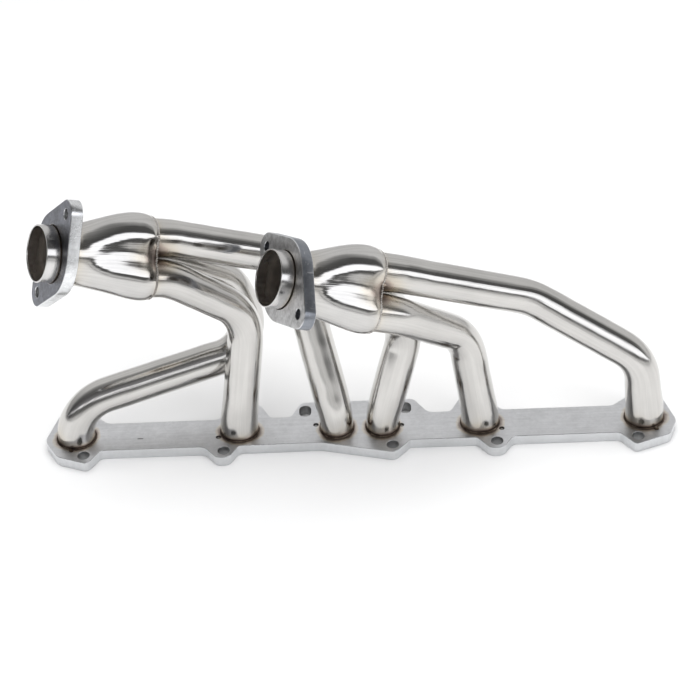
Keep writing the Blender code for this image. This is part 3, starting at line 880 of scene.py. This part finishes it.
def make_head_flange(material):
    """The long ground plate with six ports, its bolt holes and four small plugged holes."""
    outline = shifted(rounded_outline(OUTLINE, math.radians(5)), VISUAL_INSET)
    holes = []
    for number, port in PORTS.items():
        half_width, half_depth = PORT_OVALS[number]
        holes.append(oval_outline(port.x, port.y, half_width + 0.0006, half_depth + 0.0006, 96)[::-1])
    holes += [oval_outline(x, y, BOLT_RADIUS, BOLT_RADIUS, 48)[::-1] for x, y in ROUND_HOLES]
    holes += [oval_outline(x, y, BOLT_RADIUS, BOLT_RADIUS, 48, SLOT_STRETCH)[::-1] for x, y in SLOTTED_HOLES]
    pits = [(oval_outline(x, y, 0.0027, 0.0027, 32)[::-1], 0.0014) for x, y in PLUGGED_HOLES]
    pits.append((oval_outline(*DENT, 0.0030, 0.0006, 24)[::-1], 0.0005))
    return plate_object("head_flange_ground", outline, holes, pits, FLANGE_THICKNESS, 0.0007,
                        Matrix.Identity(4), material)


def outlet_axes(side):
    """The matrix from an outlet flange's own axes to the world, its back face at height 0."""
    axis = collector_frame(side)[1]
    major = spokes(side, math.radians(COLLECTORS[side]["turn"]))
    minor = np.cross(axis, major)
    origin = np.array(COLLECTORS[side]["mouth"]) - axis * (STUB_LENGTH + OUTLET_THICKNESS)
    return Matrix((
        (major[0], minor[0], axis[0], origin[0]), (major[1], minor[1], axis[1], origin[1]),
        (major[2], minor[2], axis[2], origin[2]), (0, 0, 0, 1),
    ))


def make_outlet_flange(side, material):
    """The two-bolt flange on an outlet, with a bevelled bore and bolt holes."""
    outline = waisted_outline(OUTLET_MIDDLE_RADIUS, OUTLET_END_RADIUS, OUTLET_BOLT_OFFSET, 26)
    holes = [oval_outline(0, 0, STUB_RADIUS + 0.0004, STUB_RADIUS + 0.0004, 120)[::-1]]
    holes += [oval_outline(sign * OUTLET_BOLT_OFFSET, 0, OUTLET_BOLT_RADIUS, OUTLET_BOLT_RADIUS, 44)[::-1]
              for sign in (-1, 1)]
    return plate_object(f"outlet_flange_{side}_ground", outline, holes, [], OUTLET_THICKNESS, 0.0009,
                        outlet_axes(side), material)


# ---- collectors and outlets

def eased(stations, along):
    """Smooth values between (along, value, value ...) stations, level at both ends."""
    table = np.array(stations, float)
    places = table[:, 0]
    results = []
    for column in table[:, 1:].T:
        slopes = np.gradient(column, places)
        slopes[0] = 0.0
        slopes[-1] = 0.0
        index = np.clip(np.searchsorted(places, along, side="right") - 1, 0, len(places) - 2)
        width = places[index + 1] - places[index]
        t = (along - places[index]) / width
        a, b = column[index], column[index + 1]
        m, n = slopes[index] * width, slopes[index + 1] * width
        results.append(a * (1 + 2 * t) * (1 - t) ** 2 + m * t * (1 - t) ** 2 + b * t * t * (3 - 2 * t)
                       + n * t * t * (t - 1))
    return results


def make_collector(side, material):
    """The formed shell: three lobes that swell from the weld, then merge into a round neck."""
    inlet, axis, _, across = collector_frame(side)
    length = float(np.linalg.norm(np.array(COLLECTORS[side]["mouth"]) - inlet))
    neck_end = length - STUB_LENGTH - OUTLET_THICKNESS - 0.0003
    # Share of the length, share of the lobes' spacing, the lobes' radius and the valleys' fillet
    shares = [
        (0.00, 1.00, LIP_RADIUS, VALLEY_BRIDGE), (0.05, 1.00, 0.0232, 0.0345), (0.12, 0.99, 0.0240, 0.033),
        (0.22, 0.96, 0.0241, 0.029), (0.35, 0.88, 0.0240, 0.022), (0.48, 0.765, 0.0239, 0.016),
        (0.60, 0.61, 0.0243, 0.010), (0.70, 0.43, 0.0256, 0.006), (0.78, 0.255, 0.0273, 0.0035),
        (0.85, 0.08, 0.0294, 0.0015), (0.90, 0.00, NECK_OUTSIDE, 0.0004), (1.00, 0.00, NECK_OUTSIDE, 0.0004),
    ]
    travel = np.linspace(0, 1, 84)
    along = travel * neck_end
    share, radius, fillet = eased(shares, travel)
    bow = across * (BELLY_BOW * np.sin(math.pi * np.minimum(travel / NECK_SHARE, 1.0)))[:, None, None]
    turn = round_angles(288)
    dents = 0.00012 * np.sin(turn[None] * 4 + along[:, None] * 90)
    dents = dents + 0.00010 * np.sin(turn[None] * 7 - along[:, None] * 140 + 1.0)
    dents = dents * (smooth_step(along / 0.02) * smooth_step((neck_end - along) / 0.02))[:, None]

    def shell(offset):
        reach = lobed_radius(turn[None], (share * LOBE_SPACING)[:, None], (radius + offset)[:, None],
                             fillet[:, None]) + dents
        return inlet + axis * along[:, None, None] + bow + spokes(side, turn)[None] * reach[:, :, None]

    loops = np.concatenate([shell(0.0), shell(-COLLECTOR_WALL)[::-1]])
    places = np.concatenate([along, along[::-1]])[:, None]
    hidden = (np.arange(len(loops)) >= len(along))[:, None]
    near_weld = np.exp(-places / 0.004) * 0.10 + 0.74 * valley_heat(loops, side)
    near_neck = np.exp(-(neck_end - places) / 0.0065) * 0.34
    tint = np.clip(near_weld + near_neck, 0, 1)
    return ring_object(f"collector_{side}_formed", loops, material, {
        "flow": wrapped(places, COLLECTOR_GRAIN_RADIUS, turn), "tint": tint, "inside": hidden,
    }, 60)


def make_collector_weld(side, material):
    """The rippled bead round the three tubes, larger and lumpier at the valleys."""
    bead = bead_rows(lobed_loop(side), (SWAGE_RADIUS - 0.0001, 0.0030), (LIP_RADIUS, -0.0008),
                     (SWAGE_RADIUS - 0.0004, -0.0008), 0.0008, 0.0024, 0.00050,
                     40 if side == "left" else 41, 1100, 0.9)
    return bead_object(f"collector_weld_{side}_rippled", [bead], material)


def make_merge_plug(side, material):
    """Lumpy weld metal that closes the star-shaped space between the three tube ends."""
    inlet, axis, _, _ = collector_frame(side)
    turn = round_angles(120)
    gap = circle_reach(lobe_lean(turn), LOBE_SPACING, SWAGE_RADIUS - 0.0003, -1)
    reach = np.minimum(gap, PLUG_REACH)
    spoke = spokes(side, turn)
    loops, crests = [], []
    for share in (1.0, 0.85, 0.65, 0.45, 0.25, 0.08):
        lump = 0.0004 * wave_noise(turn * 3 + share * 9, 50 + len(side), 5) * share
        height = 0.0020 + 0.0012 * (1 - share ** 2) + lump
        loops.append(inlet + spoke * (reach * share)[:, None] - axis * height[:, None])
        crests.append(0.5 + 0.5 * np.sin(turn * 9 + share * 20))
    for share in (0.08, 1.0):
        loops.append(inlet + spoke * (reach * share)[:, None] + axis * (TUBE_INSERT - 0.002))
        crests.append(np.zeros_like(turn))
    return bead_object(f"merge_plug_{side}_filled", [(np.array(loops), np.array(crests))], material)


def make_valley_fill(side, number, middle, material):
    """Lumpy weld metal in the hollow between two neighbouring tubes, under the bridged lip."""
    inlet, axis, _, _ = collector_frame(side)
    leans = np.radians(np.linspace(-19, 19, 61))
    shares = np.linspace(0, 1, 25)
    far = circle_reach(THIRD / 2 - np.abs(leans), LOBE_SPACING, SWAGE_RADIUS - 0.0006)
    lip = lobed_radius(middle + leans, LOBE_SPACING, LIP_RADIUS + 0.0001, VALLEY_BRIDGE)
    spoke = spokes(side, middle + leans)
    rng = random.Random(number + 10 * len(side))
    # Each lump's place across and along the hollow, size and height
    ranges = ((-15, 15), (0.25, 0.95), (0.09, 0.2), (0.0006, 0.0016))
    blobs = [[rng.uniform(*limits) for limits in ranges] for _ in range(16)]
    points, crests, faces = [], [], []
    for layer in (0, 1):
        for share in shares:
            reach = far + (lip - far) * share
            height = np.full_like(leans, 0.0012 - TUBE_INSERT)
            if layer == 0:
                height = 0.0016 - 0.0016 * share + 0.0010 * np.sin(math.pi * share) * np.cos(leans * 4)
                for place, depth, size, rise in blobs:
                    gap = ((np.degrees(leans) - place) / 22) ** 2 + ((share - depth) * 0.5) ** 2
                    height = height + rise * np.exp(-gap / size ** 2 * 2)
            points.append(inlet + spoke * reach[:, None] - axis * height[:, None])
            crests.append(smooth_step((height - 0.0005) / 0.003))
    grid = np.arange(len(shares) * len(leans)).reshape(len(shares), len(leans))
    corners = np.stack([grid[:-1, :-1], grid[:-1, 1:], grid[1:, 1:], grid[1:, :-1]], axis=-1)
    for a, b, c, d in corners.reshape(-1, 4).tolist():
        faces += [(a, b, c, d), (d + grid.size, c + grid.size, b + grid.size, a + grid.size)]
    rim = np.concatenate([grid[0, :-1], grid[:-1, -1], grid[-1, :0:-1], grid[:0:-1, 0]]).tolist()
    for here, there in zip(rim, rim[1:] + rim[:1]):
        faces.append((there, here, here + grid.size, there + grid.size))
    return build_object(f"valley_fill_{side}_{number}_lumpy", np.concatenate(points), faces, material,
                        {"crest": np.concatenate(crests)}, 60)


def make_outlet_stub(side, material):
    """The turned stub: a rounded lip, faint turning grooves and a sooty bore."""
    inner = STUB_RADIUS - STUB_WALL
    end = STUB_LENGTH + OUTLET_THICKNESS + STUB_INSERT
    lip = 0.0006
    profile = [(0.0, inner + lip), (0.0, STUB_RADIUS - lip), (lip * 0.3, STUB_RADIUS - lip * 0.3),
               (lip, STUB_RADIUS)]
    for step in range(1, 40):
        back = lip + (STUB_LENGTH - lip - 0.0012) * step / 40
        profile.append((back, STUB_RADIUS + 0.000035 * math.sin(step * 2.4)))
    profile += [(STUB_LENGTH - 0.0010, STUB_RADIUS - 0.0003), (STUB_LENGTH - 0.0002, STUB_RADIUS - 0.0006)]
    outer_count = len(profile)
    profile += [(STUB_LENGTH + 0.002, STUB_RADIUS - 0.0006), (end, STUB_RADIUS - 0.0002), (end, inner)]
    profile += [(end - (end - 0.0006) * step / 24, inner) for step in range(1, 25)]
    profile.append((lip * 0.3, inner + lip * 0.3))
    turn = round_angles(144)
    loop_at = round_loop(side, 0.0)
    loops = np.array([loop_at(np.full(144, radius), np.full(144, back)) for back, radius in profile])
    back = np.array([place for place, _ in profile])[:, None]
    hidden = smooth_step(back / 0.004) * (0.6 + 0.4 * smooth_step(back / end))
    hidden[:outer_count + 2] = 0.0
    tint = 0.55 * np.exp(-np.abs(back - STUB_LENGTH) / 0.0016)
    flow = np.roll(wrapped(back, STUB_RADIUS, turn), -1, axis=-1)
    return ring_object(f"outlet_stub_{side}_turned", loops, material,
                       {"flow": flow, "tint": tint, "inside": hidden})


def make_outlet_weld(side, material):
    """The bead behind an outlet flange."""
    loop_at = round_loop(side, STUB_LENGTH + OUTLET_THICKNESS)
    seed = 70 if side == "left" else 71
    bead = bead_rows(loop_at, (NECK_OUTSIDE - 0.0001, 0.0042), (NECK_OUTSIDE + 0.0038, 0.0),
                     (NECK_OUTSIDE - 0.0005, 0.0002), 0.0008, 0.0023, 0.00042, seed, 620)
    return bead_object(f"outlet_weld_{side}_rippled", [bead], material)


# ---- build the pieces

tube_steel = steel_finish("polished_tube_steel", (0.665, 0.652, 0.63), 0.115, (9.0, 420.0), 0.00012, 16.0)
collector_steel = steel_finish("formed_collector_steel", (0.665, 0.655, 0.64), 0.09, (11.0, 300.0),
                               0.00008, 22.0, (0.78, 0.73, 0.68), 0.55)
stub_steel = steel_finish("turned_stub_steel", (0.70, 0.69, 0.68), 0.16, (16.0, 16.0), 0.00003, 30.0,
                          (0.90, 0.85, 0.80), 0.17)
head_steel = flange_finish("ground_flange_steel", (0.735, 0.74, 0.755), (0.66, 0.67, 0.68),
                           0.36, 16.0, 0.5, 0.075, halo=True)
# The two outlet flanges are the same steel, given lit and shaded copies. The left face is painted dark as a
# reflection and its rim is painted bright as a highlight. The right face and rim are painted in shade.
outlet_steel = {
    "left": flange_finish("outlet_steel_left_painted_shade_and_highlight", (0.115, 0.12, 0.14), (0.80, 0.81, 0.82),
                          0.27, 30.0, 1.0, 0.42),
    "right": flange_finish("outlet_steel_right_painted_shade", (0.46, 0.46, 0.465), (0.28, 0.295, 0.325),
                           0.33, 26.0, 1.0, 0.36),
}
port_bead = bead_finish("port_weld_scale", [
    (0.030, 0.024, 0.022), (0.055, 0.042, 0.034), (0.13, 0.095, 0.065), (0.36, 0.31, 0.26)], 0.42)
shell_bead = bead_finish("collector_weld_metal", [
    (0.17, 0.14, 0.12), (0.40, 0.37, 0.34), (0.58, 0.56, 0.53), (0.72, 0.71, 0.70)], 0.26)
fill_bead = bead_finish("merge_weld_metal", [
    (0.07, 0.052, 0.042), (0.21, 0.15, 0.11), (0.42, 0.35, 0.29), (0.60, 0.57, 0.53)], 0.30)

use(make_head_flange(head_steel), "head_flange_steel", "head_flange")
for side, spec in COLLECTORS.items():
    for lobe_angle, number in spec["lobes"].items():
        use(make_tube(number, side, lobe_angle, tube_steel), "polished_tube", f"primary_tube_{number}")
        use(make_port_weld(number, port_bead), "port_weld_bead", f"port_weld_{number}")
    use(make_collector(side, collector_steel), "polished_collector", f"collector_{side}")
    use(make_collector_weld(side, shell_bead), "collector_weld_bead", f"collector_weld_{side}")
    use(make_merge_plug(side, fill_bead), "collector_weld_bead", f"merge_plug_{side}")
    for number, middle in enumerate((0.0, THIRD, -THIRD), 1):
        fill = make_valley_fill(side, number, middle, fill_bead)
        use(fill, "collector_weld_bead", f"valley_fill_{side}_{number}")
    use(make_outlet_stub(side, stub_steel), "outlet_stub_steel", f"outlet_stub_{side}")
    use(make_outlet_flange(side, outlet_steel[side]), "outlet_flange_steel", f"outlet_flange_{side}")
    use(make_outlet_weld(side, fill_bead), "collector_weld_bead", f"outlet_weld_{side}")


# ---- studio

def make_floor():
    """A plain pale floor."""
    half, level = 6.0, -0.0002
    points = [(-half, -half, level), (half, -half, level), (half, half, level), (-half, half, level)]
    material = bpy.data.materials.new("pale_floor")
    material.use_nodes = True
    shader = material.node_tree.nodes["Principled BSDF"]
    shader.inputs["Base Color"].default_value = (0.86, 0.86, 0.86, 1)
    shader.inputs["Roughness"].default_value = 0.9
    shader.inputs["Specular IOR Level"].default_value = 0.0
    mesh = bpy.data.meshes.new("floor")
    mesh.from_pydata(points, [], [(0, 1, 2, 3)])
    mesh.materials.append(material)
    floor = bpy.data.objects.new("floor", mesh)
    bpy.context.collection.objects.link(floor)


def make_studio():
    """Soft studio surroundings: pale walls, a bright panel in front, a dim ceiling and a top light."""
    world = bpy.data.worlds.new("studio")
    bpy.context.scene.world = world
    world.use_nodes = True
    tree = world.node_tree
    tree.nodes.clear()
    direction = put(tree, "ShaderNodeTexCoord").outputs["Generated"]
    parts = put(tree, "ShaderNodeSeparateXYZ", {"Vector": direction})
    turn = maths(tree, "ARCTAN2", parts.outputs["Z"], parts.outputs["Y"])
    turn = maths(tree, "DIVIDE", turn, math.pi)
    band = blended(tree, spread(tree, parts.outputs["X"], 0.32, 0.48), ramp(tree, turn, LEFT_BANDS),
                   ramp(tree, turn, STUDIO_BANDS))
    far_left = spread(tree, parts.outputs["X"], -0.95, -0.60, 0.45, 0.0)
    band = blended(tree, far_left, band, (0.06, 0.06, 0.065))
    view = put(tree, "ShaderNodeLightPath").outputs["Is Camera Ray"]
    seen = blended(tree, view, band, (0.93, 0.93, 0.93))
    background = put(tree, "ShaderNodeBackground", {"Color": seen, "Strength": 1.0})
    output = put(tree, "ShaderNodeOutputWorld")
    tree.links.new(background.outputs[0], output.inputs["Surface"])
    top = bpy.data.lights.new("top_light", "AREA")
    top.energy = 84.0
    top.shape = "SQUARE"
    top.size = 3.2
    lamp = bpy.data.objects.new("top_light", top)
    lamp.location = (0.0, -0.2, 2.4)
    lamp.visible_glossy = False
    bpy.context.collection.objects.link(lamp)


def make_camera():
    """The camera: elevation, yaw, roll, distance and aim."""
    elevation, yaw, roll = math.radians(38.0), math.radians(1.108), math.radians(-2.798)
    level_reach = math.cos(elevation)
    forward = Vector((-math.sin(yaw) * level_reach, math.cos(yaw) * level_reach, -math.sin(elevation)))
    level = forward.cross(Vector((0, 0, 1))).normalized()
    upright = level.cross(forward)
    right = level * math.cos(roll) + upright * math.sin(roll)
    up = upright * math.cos(roll) - level * math.sin(roll)
    data = bpy.data.cameras.new("camera")
    data.lens = 97.714
    data.sensor_width = 36.0
    camera = bpy.data.objects.new("camera", data)
    target, distance = Vector((-0.0065, 0.0, 0.1171)), 1.9683
    rotation = Matrix((right, up, -forward)).transposed()
    camera.matrix_world = Matrix.Translation(target - forward * distance) @ rotation.to_4x4()
    bpy.context.collection.objects.link(camera)
    bpy.context.scene.camera = camera


# Brightness round the object from the far wall (0) over the top (0.5) to the near side (1)
STUDIO_BANDS = [
    (0.00, 0.70), (0.33, 0.74), (0.37, 0.42),
    (0.435, 0.30), (0.470, 0.12), (0.640, 0.085),
    (0.668, (0.22, 0.22, 0.23)), (0.695, (1.60, 1.62, 1.68)), (0.870, (1.70, 1.72, 1.78)),
    (0.890, 0.11), (0.955, 0.13), (0.973, 0.80),
]
# The same in the middle and on the left, with only a narrow strip in front
LEFT_BANDS = [
    (0.00, 0.70), (0.33, 0.74), (0.38, 0.34),
    (0.50, 0.16), (0.62, 0.12), (0.72, (0.24, 0.24, 0.25)),
    (0.765, (0.30, 0.30, 0.31)), (0.780, (1.35, 1.36, 1.40)), (0.815, (1.35, 1.36, 1.40)),
    (0.830, 0.14), (0.93, 0.20), (0.972, 0.80),
]
make_floor()
make_studio()
make_camera()
bpy.context.scene.view_settings.view_transform = "Standard"
